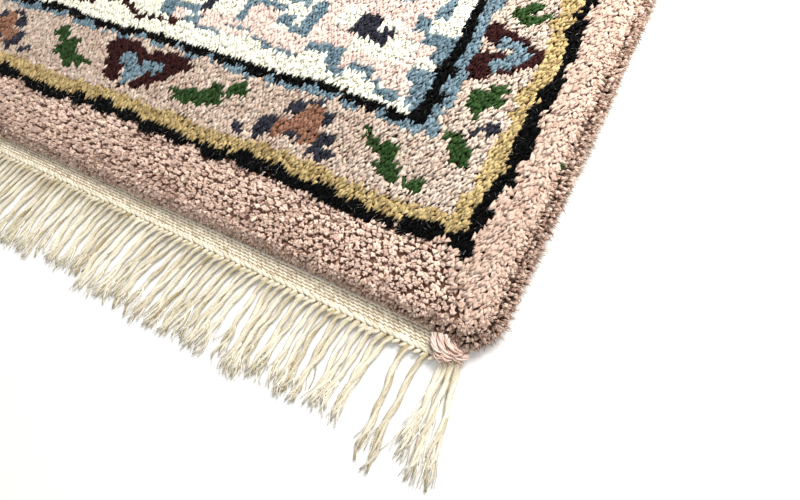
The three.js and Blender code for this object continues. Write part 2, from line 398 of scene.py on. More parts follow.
def wool(name, shade, light, level=0.0):
    """Cut wool yarn: matt and soft, streaked along its fibres, each tuft of its own tone.

    A tuft takes the light half as its faces lie and half as its yarn points, so that it shows no edges; the
    level share evens out the whole nap.
    """
    material, tree = new_material(name)
    tone = node(tree, "ShaderNodeAttribute", {"attribute_name": "tone"})
    along = node(tree, "ShaderNodeAttribute", {"attribute_name": "fibre"})
    axis = node(tree, "ShaderNodeAttribute", {"attribute_name": "axis"})
    place = node(tree, "ShaderNodeTexCoord")
    fibre = node(
        tree, "ShaderNodeTexNoise", {"Scale": 1.0, "Detail": 2.0, "Roughness": 0.6},
        {"Vector": along.outputs["Vector"]},
    )
    dye = node(
        tree, "ShaderNodeTexNoise", {"Scale": 1 / (DYE_PATCH * MM), "Detail": 3.0},
        {"Vector": place.outputs["Object"]},
    )
    streaked = node(
        tree, "ShaderNodeMath", {"operation": "MULTIPLY_ADD", 1: STREAK_SHARE},
        {0: fibre.outputs["Fac"], 2: tone.outputs["Fac"]},
    )
    mixed = node(
        tree, "ShaderNodeMath", {"operation": "MULTIPLY_ADD", 1: PATCH_SHARE, "use_clamp": True},
        {0: dye.outputs["Fac"], 2: streaked.outputs[0]},
    )
    colour = node(
        tree, "ShaderNodeMix", {"data_type": "RGBA", 6: linear(shade), 7: linear(light)},
        {0: mixed.outputs[0]},
    )
    face = node(tree, "ShaderNodeNewGeometry")
    soft = node(
        tree, "ShaderNodeMix", {"data_type": "VECTOR", 0: 0.5},
        {4: face.outputs["Normal"], 5: axis.outputs["Vector"]},
    )
    nap = node(
        tree, "ShaderNodeVectorMath", {"operation": "ADD", 1: (0.0, 0.0, level)}, {0: soft.outputs[1]},
    )
    normal = node(tree, "ShaderNodeVectorMath", {"operation": "NORMALIZE"}, {0: nap.outputs[0]})
    bump = node(
        tree, "ShaderNodeBump", {"Strength": 0.7, "Distance": WOOL_RELIEF * MM},
        {"Height": fibre.outputs["Fac"], "Normal": normal.outputs[0]},
    )
    surface = node(
        tree, "ShaderNodeBsdfPrincipled",
        {
            "Roughness": 0.95, "Specular IOR Level": 0.04, "Sheen Weight": 0.03, "Sheen Roughness": 0.6,
            "Subsurface Weight": 0.3, "Subsurface Radius": (1.0, 0.8, 0.7), "Subsurface Scale": 1.0 * MM,
        },
        {"Base Color": colour.outputs[2], "Normal": bump.outputs[0]},
    )
    node(tree, "ShaderNodeOutputMaterial", None, {"Surface": surface.outputs[0]})
    return material


def cotton(name, shade, light):
    """Spun cotton yarn: matt, streaked along its fibres; its tone carries painted shade in the hollows
    between the twisted plies and painted light on their tops.
    """
    material, tree = new_material(name)
    tone = node(tree, "ShaderNodeAttribute", {"attribute_name": "tone"})
    place = node(tree, "ShaderNodeTexCoord")
    fibre = node(
        tree, "ShaderNodeTexNoise", {"Scale": 1 / (COTTON_BUNDLE * MM), "Detail": 2.0},
        {"Vector": place.outputs["Object"]},
    )
    along = node(tree, "ShaderNodeAttribute", {"attribute_name": "fibre"})
    streak = node(
        tree, "ShaderNodeTexNoise", {"Scale": COTTON_STREAKS, "Detail": 2.0, "Roughness": 0.6},
        {"Vector": along.outputs["Vector"]},
    )
    both = node(
        tree, "ShaderNodeMath", {"operation": "ADD"}, {0: fibre.outputs["Fac"], 1: streak.outputs["Fac"]},
    )
    mixed = node(
        tree, "ShaderNodeMath", {"operation": "MULTIPLY_ADD", 1: COTTON_SHARE, "use_clamp": True},
        {0: both.outputs[0], 2: tone.outputs["Fac"]},
    )
    colour = node(
        tree, "ShaderNodeMix", {"data_type": "RGBA", 6: linear(shade), 7: linear(light)},
        {0: mixed.outputs[0]},
    )
    bump = node(
        tree, "ShaderNodeBump", {"Strength": 0.6, "Distance": COTTON_RELIEF * MM},
        {"Height": both.outputs[0]},
    )
    surface = node(
        tree, "ShaderNodeBsdfPrincipled",
        {"Roughness": 0.9, "Specular IOR Level": 0.2, "Sheen Weight": 0.15},
        {"Base Color": colour.outputs[2], "Normal": bump.outputs[0]},
    )
    node(tree, "ShaderNodeOutputMaterial", None, {"Surface": surface.outputs[0]})
    return material


# Pile
CORNER_RADIUS = 16.0
CORNER_BLEND = 44.0  # over this width the way out to the edge turns from the end to the side
UPRIGHT_TO, LAID_FROM = 0.3, 0.95  # how far that way turns to the side while the nap sets in
RAGGED, RAGGED_ACROSS, RAGGED_ALONG = 0.2, 5.0, 6.0  # how upright and laid ends interlock: share, waves
NAP_TURN = ([0, 334], [0.25, -0.4])  # how far aside the nap runs, from the middle of the rug to its +X side
NAP_REACH, PEBBLE_REACH = 6.0, 1.6  # how far the yarn ends lean, laid over and upright
NAP_STRAY, PEBBLE_STRAY = 0.6, 1.5  # how far they stray from that
FOOT_BACK = 0.65  # share of its lean by which a yarn end's root is behind its place
TOP_STRAY = 0.8  # how unevenly the tips are cut
SPLAY_DEPTH = 14.0  # nearer to the rim than this, the yarn ends turn out over the edge
SPLAY_REACH, SPLAY_DROP, SPLAY_UNBENT = 3.5, 0.6, 0.75  # how far out and down, and the share of the nap lost
END_PITCH, PEBBLE_PITCH = 2.85, 3.8  # spacing of the yarn ends, laid over and upright
END_SCATTER = 0.15  # share of that spacing
PEBBLE_DRIFT = 2.0  # the upright ends take their yarn this far along, as the laid ends' tips show theirs
PEBBLE_GIRTH = 1.62
END_STRANDS = 3  # strands that show in an upright yarn end
STRAND_TURN = 1.2  # radians that they wind round each other
STRAND_ROOT, STRAND_TIP, STRAND_DROP = 0.5, (0.8, 1.5), 0.5  # how far apart they are, and how uneven
GIRTH_RANGE = (0.7, 1.3)
# Rows of yarn round the edge: share of the bulge, step inwards, height of the tips, degrees from upright
RIM_ROWS = [
    (0.0, 0.6, 1.2, 98),
    (0.3, 0.1, 2.9, 92),
    (0.8, 0.0, 4.5, 84),
    (1.0, 0.2, 6.2, 74),
    (0.8, 0.9, 8.0, 62),
    (0.5, 2.4, 9.5, 48),
    (0.2, 4.6, 10.6, 34),
    (0.0, 6.6, 11.0, 22),
]
RIM_INSET = 4.4  # the knots start this far inside the edge
RIM_PITCH, RIM_YARN, RIM_GIRTH = 2.2, 6.0, 1.75
RIM_TILT_STRAY, RIM_SIDE_STRAY = 9.0, 0.22  # degrees, share of the yarn's length
RIM_EDGE_STRAY, RIM_HEIGHT_STRAY = 0.3, 0.4
# Tones: how far a yarn is from its shade towards its light, before the streaks are added
LAID_TONE, LAID_ROSE_TONE, PEBBLE_TONE, RIM_TONE = -0.6, -0.78, -0.42, -0.6
TONE_STRAY, RIM_TONE_STRAY, RIM_TONE_RISE = 0.15, 0.2, 0.12
ROOT_TONE, TUFT_TONE_RISE = -0.6625, 0.55  # painted shade: a tuft is drawn dark at its root, deep in the pile's shade, and paler towards its tip
CROWN_FROM, CROWN_TONE_RISE = 0.8, 2.0  # painted highlight: paler still in its topmost share, which catches the light
PAINTED_SIDE_LIGHT = ([200, 260], [0, 0.2])  # painted light: how much paler the wool is drawn, from the middle of the rug to its +X side, where the light falls brighter
END_EDGE_SHADE = ([0, 36], [-0.3, 0.0])  # painted shade: how much darker the upright ends are drawn near the edge, where the pile's own edge shades them, from the edge inwards
SIDE_BULGE = (
    [0, 0.06, 0.13, 0.22, 0.34, 0.47, 0.6, 0.74, 0.88, 1], [4.2, 4.6, 5, 3.4, 2, 3.8, 2.4, 5, 2.2, 3.6],
)  # share of the edge from its left-hand corner as seen from outside, bulge of the rim there
END_BULGE = (
    [0, 0.06, 0.18, 0.3, 0.38, 0.5, 0.64, 0.72, 0.88, 0.94, 0.985, 1, 1.009, 1.018, 1.025],
    [1.6, 0.6, 1.6, 2.6, 2.8, 1.0, 1.0, -1.2, -0.8, 0.6, 2.0, 3.6, 6.5, 3.4, 4.0],
)  # past 1 it goes round the corner
TUFT_SIDES = 3
TUFT_STRAY = 0.21  # how unevenly round a tuft is
# Forms of a tuft: share of its height where it is fullest, and how late it bends over
LAID = (0.88, 9.0)
CURL = (0.82, 1.8)
STIFF = (0.74, 1.0)
FIBRE = (0.5, 1.6)
FLOOR_GAP = 0.15


def tuft_shape(fullest):
    """A tuft of unit height and radius: a point at its root, full near the top, with a blunt tip."""
    points, faces = ball(TUFT_SIDES, 2)
    return np.column_stack([points[:, :2], np.interp(points[:, 2], [-1, 0, 1], [0, fullest, 1])]), faces


def unit(vectors):
    """Vectors drawn to a length of one."""
    return vectors / np.maximum(np.linalg.norm(vectors, axis=-1, keepdims=True), 1e-9)


def tufts(name, root, tip, radius, form, material, tone):
    """Yarn ends from their roots to their tips, bent over more towards the tip."""
    count = len(root)
    fullest, bend = form
    points, faces = tuft_shape(fullest)
    axis = unit(tip - root)
    side = unit(np.cross(axis, rng.normal(size=(count, 3))))
    over = np.cross(axis, side)
    uneven = 1 + rng.normal(0, TUFT_STRAY, (count, len(points), 1))
    flat = points[None, :, :2] * uneven * radius[:, None, None]
    t = points[None, :, 2:]
    reach = np.concatenate([t ** bend, t ** bend, t], axis=-1)
    spot = root[:, None] + (tip - root)[:, None] * reach
    spot = spot + flat[..., :1] * side[:, None] + flat[..., 1:] * over[:, None]
    spot[..., 2] = np.maximum(spot[..., 2], FLOOR_GAP)
    length = np.linalg.norm(tip - root, axis=1)[:, None, None]
    fibre = np.concatenate([flat / BUNDLE_WIDTH, t * length / BUNDLE_RUN], axis=-1)
    fibre = fibre + rng.uniform(0, PATTERN_SPAN, (count, 1, 3))
    rise = points[None, :, 2]
    # painted shade at the root and painted highlight at the crown
    lit = ROOT_TONE + TUFT_TONE_RISE * rise + CROWN_TONE_RISE * np.maximum(rise - CROWN_FROM, 0)
    return joined(
        name, spot, faces, material, fibre=fibre, axis=np.repeat(axis[:, None], len(points), axis=1),
        tone=tone[:, None] + lit,
    )


# Where the stripes near the corner that is seen leave their straight line: place, step away from the edge
END_WANDER = (
    [-120, -90, -50, 0, 40, 60, 85, 115, 140, 160, 180, 240, 300, 334],
    [-2.6, -4.0, -2.0, -1.6, -0.6, 1.0, -1.2, -0.8, 2.4, 1.6, -1.6, -1.6, -0.8, 0],
)
SIDE_WANDER = ([-518, -470, -430, -370, -330, -310, -270, -200], [0, 1.0, -1.5, -1.5, -1.0, 2.0, 3.2, 0])
# Waves of the weave, across the rug and along it: length and start of a long, a slow and a short one
ACROSS_WAVES = ((31, 0.6), (87, 1.2), (13.7, 0.0))
ALONG_WAVES = ((34, 1.9), (71, 0.4), (15.3, 2.0))
LONG_WAVE, SHORT_WAVE = 1.5, 1.0


def waver(place, waves):
    """How far the weave wanders from straight at a place along it."""
    long, slow, short = [np.sin(place / length + start) for length, start in waves]
    return LONG_WAVE * long * slow + SHORT_WAVE * short


def weave_waver(x, y):
    """How far the weave wanders, across and along, at a place on the rug."""
    across = waver(y, ACROSS_WAVES) - np.interp(y, *SIDE_WANDER) * (x > 0)
    return across, waver(x, ALONG_WAVES) + np.interp(x, *END_WANDER) * (y < 0)


def inside(x, y):
    """Distance in from the rug's rounded edge, and the way out to it, which turns smoothly at the corners."""
    gap_x, gap_y = np.abs(x) - HALF_WIDTH + CORNER_RADIUS, np.abs(y) - HALF_LENGTH + CORNER_RADIUS
    corner = (gap_x > 0) & (gap_y > 0)
    depth = CORNER_RADIUS - np.where(corner, np.hypot(gap_x, gap_y), np.maximum(gap_x, gap_y))
    side = np.clip(0.5 + (gap_x - gap_y) / CORNER_BLEND, 0, 1)
    return depth, unit(np.column_stack([side * np.sign(x), (1 - side) * np.sign(y)]))


def rim_yarns():
    """Roots and tips of the yarns round the edge of the pile."""
    place, outward, bulge = [], [], []
    for quarter in range(4):
        at_end = quarter % 2 == 0
        half, out = (HALF_WIDTH, HALF_LENGTH) if at_end else (HALF_LENGTH, HALF_WIDTH)
        table = END_BULGE if at_end else SIDE_BULGE
        straight = half - CORNER_RADIUS
        along = np.arange(-straight, straight, RIM_PITCH)
        turn = np.arange(0, math.pi / 2, RIM_PITCH / CORNER_RADIUS)
        x = np.concatenate([along, straight + CORNER_RADIUS * np.sin(turn)])
        y = np.concatenate([np.full(len(along), -out), -out + CORNER_RADIUS * (1 - np.cos(turn))])
        heading = np.concatenate([np.zeros(len(along)), turn])
        a = quarter * math.pi / 2
        place.append(np.column_stack([x * math.cos(a) - y * math.sin(a), x * math.sin(a) + y * math.cos(a)]))
        outward.append(np.column_stack([np.sin(heading + a), -np.cos(heading + a)]))
        bulge.append(np.interp((x + straight) / (2 * straight), *table))
    place, outward, bulge = np.concatenate(place), np.concatenate(outward), np.concatenate(bulge)
    beside = np.column_stack([-outward[:, 1], outward[:, 0]])
    count = len(place)
    roots, tips = [], []
    for share, inset, z, tilt in RIM_ROWS:
        lean = np.radians(tilt + rng.normal(0, RIM_TILT_STRAY, count))[:, None]
        sideways = beside * rng.normal(0, RIM_SIDE_STRAY, count)[:, None]
        way = np.column_stack([outward * np.sin(lean) + sideways, np.cos(lean)])
        shift = rng.uniform(-0.5, 0.5, (count, 1)) * RIM_PITCH
        bulged = bulge * share - inset + rng.normal(0, RIM_EDGE_STRAY, count)
        edge = place + outward * bulged[:, None] + beside * shift
        tip = np.column_stack([edge, np.minimum(z + rng.normal(0, RIM_HEIGHT_STRAY, count), PILE_TOP)])
        tips.append(tip)
        roots.append(tip - unit(way) * RIM_YARN)
    return np.concatenate(roots), np.concatenate(tips)


def yarn_ends(chart, pitch, drift=0.0):
    """Places of yarn ends over the whole pile, and the yarn of the knot that each belongs to."""
    row_pitch = pitch * math.sqrt(3) / 2
    rows, places = int(2 * HALF_LENGTH / row_pitch), int(2 * HALF_WIDTH / pitch)
    row, place = [grid.ravel() for grid in np.indices((rows, places))]
    x = (place + 0.5 + 0.5 * (row % 2)) * pitch - HALF_WIDTH
    y = (row + 0.5) * row_pitch - HALF_LENGTH
    x = x + rng.normal(0, END_SCATTER * pitch, len(x))
    y = y + rng.normal(0, END_SCATTER * pitch, len(x))
    across, along = weave_waver(x, y)
    u = np.clip(np.floor((HALF_WIDTH - x + across) / KNOT).astype(int), 0, ACROSS - 1)
    v = np.clip(np.floor((y - along - drift + HALF_LENGTH) / KNOT).astype(int), 0, ALONG - 1)
    yarn = chart[v, u]
    depth, outward = inside(x, y)
    ragged = RAGGED * np.sin(x / RAGGED_ACROSS) * np.sin(y / RAGGED_ALONG)
    upright = (yarn == "rose") & (np.abs(outward[:, 0]) < UPRIGHT_TO + ragged)
    yarn = np.where(upright, "rose end", yarn)
    keep = depth > RIM_INSET
    return x[keep], y[keep], yarn[keep]


def stand(x, y, reach, stray):
    """Roots and tips of the yarn ends at their places: laid over by the nap, and out over an edge nearby."""
    depth, outward = inside(x, y)
    splay = np.clip(1 - (depth - RIM_INSET) / SPLAY_DEPTH, 0, 1)
    turned = splay[:, None]
    aside = np.interp(x, *NAP_TURN)
    nap = np.column_stack([aside, -np.sqrt(1 - aside ** 2)])
    lie = nap * reach[:, None] * (1 - SPLAY_UNBENT * turned) + outward * turned * SPLAY_REACH
    lie = lie + rng.normal(0, 1, (len(x), 2)) * stray[:, None]
    foot = np.column_stack([x, y]) - FOOT_BACK * lie
    top = PILE_TOP - SPLAY_DROP * splay - np.abs(rng.normal(0, TOP_STRAY, len(x))) * stray
    return np.column_stack([foot, np.full(len(x), BACK_TOP)]), np.column_stack([foot + lie, top])


def strands_of(root, tip):
    """The strands of every yarn end: wound round each other and parted at the tip."""
    around = np.arange(END_STRANDS) * 2 * math.pi / END_STRANDS
    turn = rng.uniform(0, 2 * math.pi, (len(root), 1)) + around
    wound = turn + STRAND_TURN
    foot = np.stack([np.cos(turn), np.sin(turn), 0 * turn], axis=-1)
    crown = np.stack([np.cos(wound), np.sin(wound), 0 * wound], axis=-1)
    crown = crown * rng.uniform(*STRAND_TIP, (*turn.shape, 1))
    crown[..., 2] = -np.abs(rng.normal(0, STRAND_DROP, turn.shape))
    return (root[:, None] + STRAND_ROOT * foot).reshape(-1, 3), (tip[:, None] + crown).reshape(-1, 3)


def halves(name, places, yarn, girth, form, tone, material):
    """All ends of one yarn, joined for the front half of the rug and for the back half."""
    x, y, yarn_of = places
    made = []
    for half, in_half in (("front", y < 0), ("back", y >= 0)):
        here = in_half & (yarn_of == yarn)
        count = int(here.sum())
        depth, outward = inside(x[here], y[here])
        settled = np.ones(count)
        if yarn in ("rose", "rose end"):
            settled = np.interp(np.abs(outward[:, 0]), [UPRIGHT_TO, LAID_FROM], [0, 1])
        reach = PEBBLE_REACH + (NAP_REACH - PEBBLE_REACH) * settled
        stray = PEBBLE_STRAY + (NAP_STRAY - PEBBLE_STRAY) * settled
        root, tip = stand(x[here], y[here], reach, stray)
        tones = rng.normal(tone, TONE_STRAY, count)
        # painted light towards the +X side
        # painted shade on the upright ends near the edge
        tones = tones + np.interp(x[here], *PAINTED_SIDE_LIGHT) + (1 - settled) * np.interp(depth, *END_EDGE_SHADE)
        if yarn == "rose end":
            root, tip = strands_of(root, tip)
            tones = np.repeat(tones, END_STRANDS)
        radius = girth * rng.uniform(*GIRTH_RANGE, len(root))
        made.append(tufts(f"{name}_{half}", root, tip, radius, form, material, tones))
    return made


def rim_pile(rim, material):
    """Yarns round the edge, which stand out of it and hang over the floor."""
    root, tip = rim
    radius = RIM_GIRTH * rng.uniform(*GIRTH_RANGE, len(root))
    # painted shade: rim yarns are drawn darker the lower their tips hang, paler near the pile's top
    tone = rng.normal(RIM_TONE, RIM_TONE_STRAY, len(root)) + RIM_TONE_RISE * tip[:, 2] / PILE_TOP
    return tufts("pile_rim", root, tip, radius, STIFF, material, tone)


def pile(laid, upright, rim):
    """Yarn ends of the whole rug, a pair of pieces for each yarn, with the upright ends and the rim."""
    made = []
    for yarn, (shade, light) in YARNS.items():
        dyed = wool(f"Cut wool pile, {yarn}", shade, light, LEVEL.get(yarn, 0.0))
        tone = LAID_ROSE_TONE if yarn == "rose" else LAID_TONE
        made += halves(f"pile_{yarn}", laid, yarn, CLOSE_GIRTHS.get(yarn, GIRTH), LAID, tone, dyed)
        if yarn == "rose":
            loose_wool = wool("Cut wool pile of the ends and the rim, rose", *LOOSE_ROSE)
            made += halves("pile_rose_end", upright, "rose end", PEBBLE_GIRTH, CURL, PEBBLE_TONE, loose_wool)
            made.append(rim_pile(rim, loose_wool))
    return made


GUARD_HAIRS, GUARD_HAIR_LENGTH, GUARD_HAIR_RADIUS = 1600, 8.0, 0.07
GUARD_HAIR_LENGTHS, GUARD_HAIR_TILT, GUARD_HAIR_SUNK = (0.3, 1.0), 0.06, 0.4
RIM_HAIRS, RIM_HAIR_RADIUS, RIM_HAIR_LENGTHS = 18000, 0.25, (4.5, 8.5)
RIM_HAIR_GIRTHS = (0.6, 1.3)
SIDE_HAIR_SHARE = 2.0  # the sides are hairier than the ends
END_HAIR_SHARE, END_HAIR_DEPTH = 0.7, 8.0  # the ends' hairs are shorter, this far from the edge
RIM_HAIR_STRAY, RIM_HAIR_SAG = 0.4, 0.3
RIM_HAIR_ROOT, RIM_HAIR_SCATTER = 3.0, 0.6  # they start this far inside the yarns' tips
RIM_HAIR_LOW, RIM_HAIR_HIGH = 0.5, 0.2  # roots stay this far under the pile's top, tips this far over it
GUARD_HAIR_TONE, RIM_HAIR_TONE, RIM_HAIR_TONE_STRAY = -0.3, -0.5, 0.3


def guard_hairs(laid):
    """Loose pale fibres that lie on the black guards."""
    x, y, yarn_of = laid
    on_guard = rng.choice(np.flatnonzero(yarn_of == "black"), GUARD_HAIRS, replace=False)
    turn = rng.uniform(0, 2 * math.pi, GUARD_HAIRS)
    way = np.column_stack([np.cos(turn), np.sin(turn), rng.normal(0.0, GUARD_HAIR_TILT, GUARD_HAIRS)])
    middle = np.column_stack([x[on_guard], y[on_guard], np.full(GUARD_HAIRS, PILE_TOP - GUARD_HAIR_SUNK)])
    half = way * GUARD_HAIR_LENGTH * rng.uniform(*GUARD_HAIR_LENGTHS, (GUARD_HAIRS, 1)) / 2
    material = wool("Loose wool fibre", "#8A857E", "#D8D2C8")
    radius, tone = np.full(GUARD_HAIRS, GUARD_HAIR_RADIUS), np.full(GUARD_HAIRS, GUARD_HAIR_TONE)
    return tufts("guard_hairs", middle - half, middle + half, radius, FIBRE, material, tone)


def rim_hairs(rim):
    """Fuzz round the edge of the pile: fine brownish wool fibres that hang out over the floor."""
    rim_root, rim_tip = rim
    at_side = np.abs(rim_tip[:, 0]) > HALF_WIDTH - CORNER_RADIUS
    share = np.where(at_side, SIDE_HAIR_SHARE, 1.0)
    pick = rng.choice(len(rim_tip), RIM_HAIRS, p=share / share.sum())
    out = unit(rim_tip[pick] - rim_root[pick]) + rng.normal(0, RIM_HAIR_STRAY, (RIM_HAIRS, 3))
    out = unit(out - [0, 0, RIM_HAIR_SAG])
    start = rim_tip[pick] - out * RIM_HAIR_ROOT + rng.normal(0, RIM_HAIR_SCATTER, (RIM_HAIRS, 3))
    at_end = np.abs(start[:, 1]) > HALF_LENGTH - END_HAIR_DEPTH
    reach = rng.uniform(*RIM_HAIR_LENGTHS, RIM_HAIRS) * np.where(at_end, END_HAIR_SHARE, 1.0)
    tip = start + out * reach[:, None]
    start[:, 2] = np.minimum(start[:, 2], PILE_TOP - RIM_HAIR_LOW)
    tip[:, 2] = np.minimum(tip[:, 2], PILE_TOP + RIM_HAIR_HIGH)
    material = wool("Wool fuzz of the edge", "#745038", "#F0D4BC")
    radius = RIM_HAIR_RADIUS * rng.uniform(*RIM_HAIR_GIRTHS, RIM_HAIRS)
    tone = rng.normal(RIM_HAIR_TONE, RIM_HAIR_TONE_STRAY, RIM_HAIRS)
    return tufts("rim_hairs", start, tip, radius, FIBRE, material, tone)


FOUNDATION_MARGIN = 3.4
FOUNDATION_TOP = 7.0
FOUNDATION_ROUND = 3.0


def foundation():
    """The rug's body deep in the pile: a flat slab of wool and cotton that the yarn ends stand on. Its dark
    brown is painted shade, showing in the gaps between the yarn ends.
    """
    bm = bmesh.new()
    bmesh.ops.create_cube(bm, size=1.0)
    size = (2 * (HALF_WIDTH - FOUNDATION_MARGIN), 2 * (HALF_LENGTH - FOUNDATION_MARGIN), FOUNDATION_TOP)
    bmesh.ops.scale(bm, vec=[s * MM for s in size], verts=bm.verts)
    middle = FOUNDATION_TOP / 2 * MM
    bmesh.ops.translate(bm, vec=(0, 0, middle), verts=bm.verts)
    upright = [e for e in bm.edges if abs(e.verts[0].co.z - e.verts[1].co.z) > middle]
    bmesh.ops.bevel(
        bm, geom=upright, offset=(CORNER_RADIUS - FOUNDATION_MARGIN) * MM, affect="EDGES", segments=8,
        profile=0.5, material=-1,
    )
    top = [e for e in bm.edges if min(v.co.z for v in e.verts) > middle]
    bmesh.ops.bevel(
        bm, geom=top, offset=FOUNDATION_ROUND * MM, affect="EDGES", segments=3, profile=0.5, material=-1,
    )
    return finished("foundation", bm, cotton("Wool deep in the pile, painted shade", "#5A4034", "#7C5E4E"))


# Kelim, chain and fringe
GAP = 0.4  # between the pile and the kelim
KELIM_WIDTH, KELIM_TOP, KELIM_HALF = 10.0, 2.6, 316.0
CHAIN_WIDTH, CHAIN_TOP, CHAIN_HALF = 7.5, 4.4, 309.0
KELIM_EDGE = HALF_LENGTH + GAP
CHAIN_EDGE = KELIM_EDGE + KELIM_WIDTH
FRINGE_EDGE = CHAIN_EDGE + CHAIN_WIDTH
STRAND_PLACES, STRAND_PITCH = 111, 5.45
ROOT_DEPTH, CORNER_ROOT_DEPTH = 4.2, 9.0  # strands and corner warps start this far inside the fringe's edge
# Clumps of the fringe: strands, bare places after them, lean of the tips, share drawn together, length
CLUMPS = [
    (1, 1, -2, 0, 66), (1, 1, -7, 0, 63), (10, 0, 0, 0.04, 54), (3, 0, 1.5, 0.1, 55), (4, 0, 0, 0.12, 58),
    (11, 0, 5, 0.06, 58), (6, 0, 7, 0.1, 56), (4, 0, 4, 0.14, 58), (9, 0, -1, 0.1, 53), (8, 0, 1, 0.08, 57),
    (5, 0, 5, 0.12, 60), (10, 0, 6, 0.06, 55), (7, 0, 2, 0.1, 58), (9, 0, -2, 0.08, 54), (6, 0, 0, 0.12, 59),
    (11, 0, 4, 0.06, 56), (4, 0, 1, 0.1, 66),
]
CORNER_WARPS = [(313.6, 0.5, 46), (316.2, 3.5, 55), (318.8, 7, 62), (321.4, 11, 60)]  # root, lean, length
LENGTH_RANGE, LEAN_STRAY = (0.93, 1.0), 1.8
LEAN_ALONG = ([0, 0.3, 0.66, 0.88, 1], [0, 0.3, 0.8, 0.97, 1])  # share of the length, share of the lean
LEAD_IN, LEAD_IN_SHARE = 4.6, 0.1  # a strand leaves the chain this far aside, and turns over this share
SWAY, SWAY_TURN, SWAY_GROWTH = 1.5, (3, 8), 0.7  # slow bends of a strand: width, radians, how they grow
RIPPLE, RIPPLE_TURN, RIPPLE_GROWTH = 0.7, (14, 22), 0.5  # quick ones
CHAIN_LIFT, CHAIN_LIFT_SHARE = 2.9, 0.12  # a strand comes down from this height over this share
STRAND_STEPS = 14
PLIES, PLY_SIDES, PLY_RADIUS, PLY_GIRTHS = 3, 4, 1.25, (0.85, 1.1)
TWIST_RADIUS, TWIST_RISE, TWIST_PITCH = 0.8, 0.4, 36.0
FRAY_FROM, FRAY_GROWTH, FRAY_SPREAD, FRAY_STRAY = 0.55, 1.6, 2.6, 0.7
FRAY_RANGE, PLY_CUT = (0.2, 1.0), (0.88, 1.0)  # how far a ply comes loose, and the share of length it keeps
FRAY_THIN, FRAY_LOW, FRAY_SINK = 0.5, 0.45, 0.5  # how much thinner, lower and nearer the floor it gets
WARP_TONE, WARP_TONE_STRAY, PLY_TONE, ROOT_SHADE, FRAY_SHADE = -0.13, 0.12, 0.2, 0.35, 0.1
FRAY_YARNS, FRAY_SIDES, FRAY_YARN_RADIUS, FRAY_GIRTHS, FRAY_STEPS = 6, 3, 0.55, (0.6, 1.2), 6
FRAY_START, FRAY_LENGTH = (0.5, 0.72), (0.26, 0.36)  # shares of the strand
FRAY_ASIDE, FRAY_CURL, FRAY_CURL_TURN = 3.0, 0.9, (3, 9)
FRAY_HEIGHT, FRAY_HEIGHTS, FRAY_FALL = 1.3, (-0.6, 0.8), 0.6
FRAY_TONE, FRAY_TONE_STRAY = 0.42, 0.3
CORNER_FRAY_FROM, CORNER_FRAY_YARNS = 0.3, 16  # the corner warps fray more


def tubes(name, paths, radii, sides, material, tone):
    """Closed round yarns along many paths at once: paths (yarns, stations, 3) and radii (yarns, stations)."""
    ahead = unit(np.gradient(paths, axis=1))
    side = unit(np.cross(ahead, [0, 0, 1.0]))
    over = np.cross(side, ahead)
    turn = np.arange(sides) / sides * 2 * math.pi
    ring = side[:, :, None] * np.cos(turn)[:, None] + over[:, :, None] * np.sin(turn)[:, None]
    points = paths[:, :, None] + ring * radii[:, :, None, None]
    stations = paths.shape[1]
    faces = []
    for row in range(stations - 1):
        for k in range(sides):
            a, b = row * sides + k, row * sides + (k + 1) % sides
            faces.append([a, a + sides, b + sides, b])
    last = (stations - 1) * sides
    faces += [list(range(sides)), [last + k for k in range(sides)][::-1]]
    points = points.reshape(len(paths), stations * sides, 3)
    step = np.linalg.norm(np.diff(paths, axis=1, prepend=paths[:, :1]), axis=2).cumsum(axis=1)
    across = np.broadcast_to(np.column_stack([np.cos(turn), np.sin(turn)]), (len(paths), stations, sides, 2))
    along = np.broadcast_to(step[:, :, None, None] / BUNDLE_RUN, (len(paths), stations, sides, 1))
    fibre = np.concatenate([across, along], axis=-1) + rng.uniform(0, PATTERN_SPAN, (len(paths), 1, 1, 3))
    return joined(
        name, points, faces, material, tone=np.repeat(tone, sides, axis=-1),
        fibre=fibre.reshape(points.shape), axis=ring.reshape(points.shape),
    )


def to_end(points, back):
    """Points of the front end, turned round to the far end where that is asked for."""
    return points * np.array([-1, -1, 1]) if back else points


